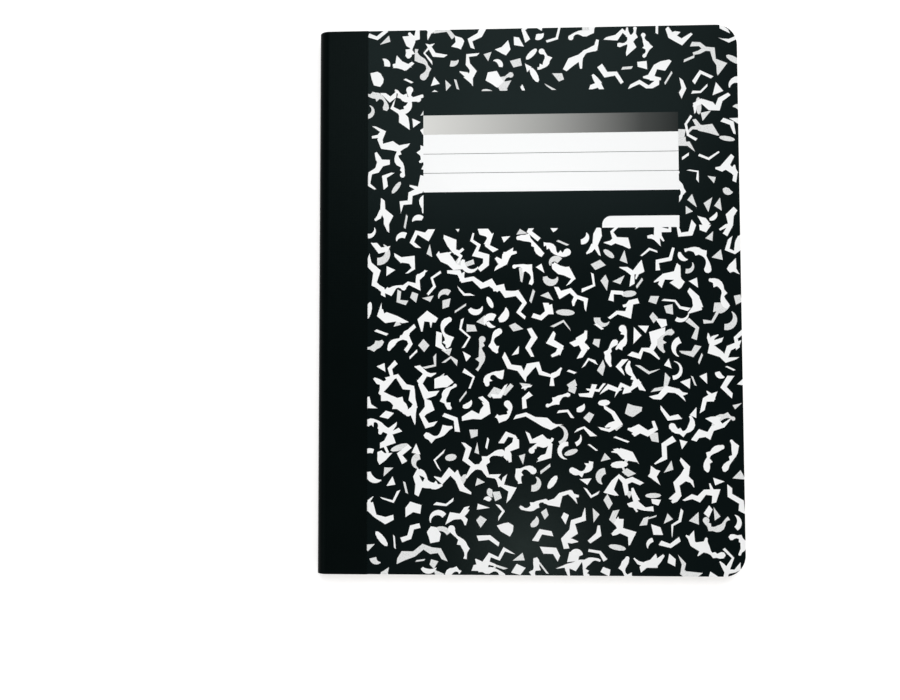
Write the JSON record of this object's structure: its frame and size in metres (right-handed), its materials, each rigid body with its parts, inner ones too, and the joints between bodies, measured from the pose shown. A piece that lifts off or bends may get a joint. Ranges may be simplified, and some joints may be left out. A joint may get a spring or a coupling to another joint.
{
  "type": "composition notebook",
  "caption": "Hardback exercise book: marbled black and white board covers, black cloth tape round a sewn spine, a writing label on the front and round fore-edge corners.",
  "frame": {"origin": "middle of the underside, on the surface that the closed book lies on", "axes": "+X across the cover from the spine to the fore-edge, +Y up the page to the head, +Z out of the front cover"},
  "size_m": [0.1905, 0.2476, 0.0098],
  "materials": {
    "lined_board": "satin",
    "black_ink": "satin",
    "grey_ink": "satin",
    "ruled_paper": "matte",
    "black_cloth": "matte",
    "white_thread": "matte"
  },
  "bodies": {
    "book_block": {"page_block": "ruled_paper", "sewing_thread": "white_thread", "spine_tape": "black_cloth"},
    "front_board": {"front_cover": "lined_board", "front_tape": "black_cloth", "front_print": "black_ink", "title_band": "grey_ink"},
    "back_board": {"back_cover": "lined_board", "back_tape": "black_cloth", "back_print": "black_ink"}
  },
  "joints": [
    {"name": "front_cover_hinge", "type": "hinge", "parent": "book_block", "child": "front_board", "pos_m": [-0.09033, 0, 0.00984], "axis": [0, -1, 0], "range_deg": [0, 180]},
    {"name": "back_cover_hinge", "type": "hinge", "parent": "book_block", "child": "back_board", "pos_m": [-0.09033, 0, 0], "axis": [0, 1, 0], "range_deg": [0, 180]}
  ]
}
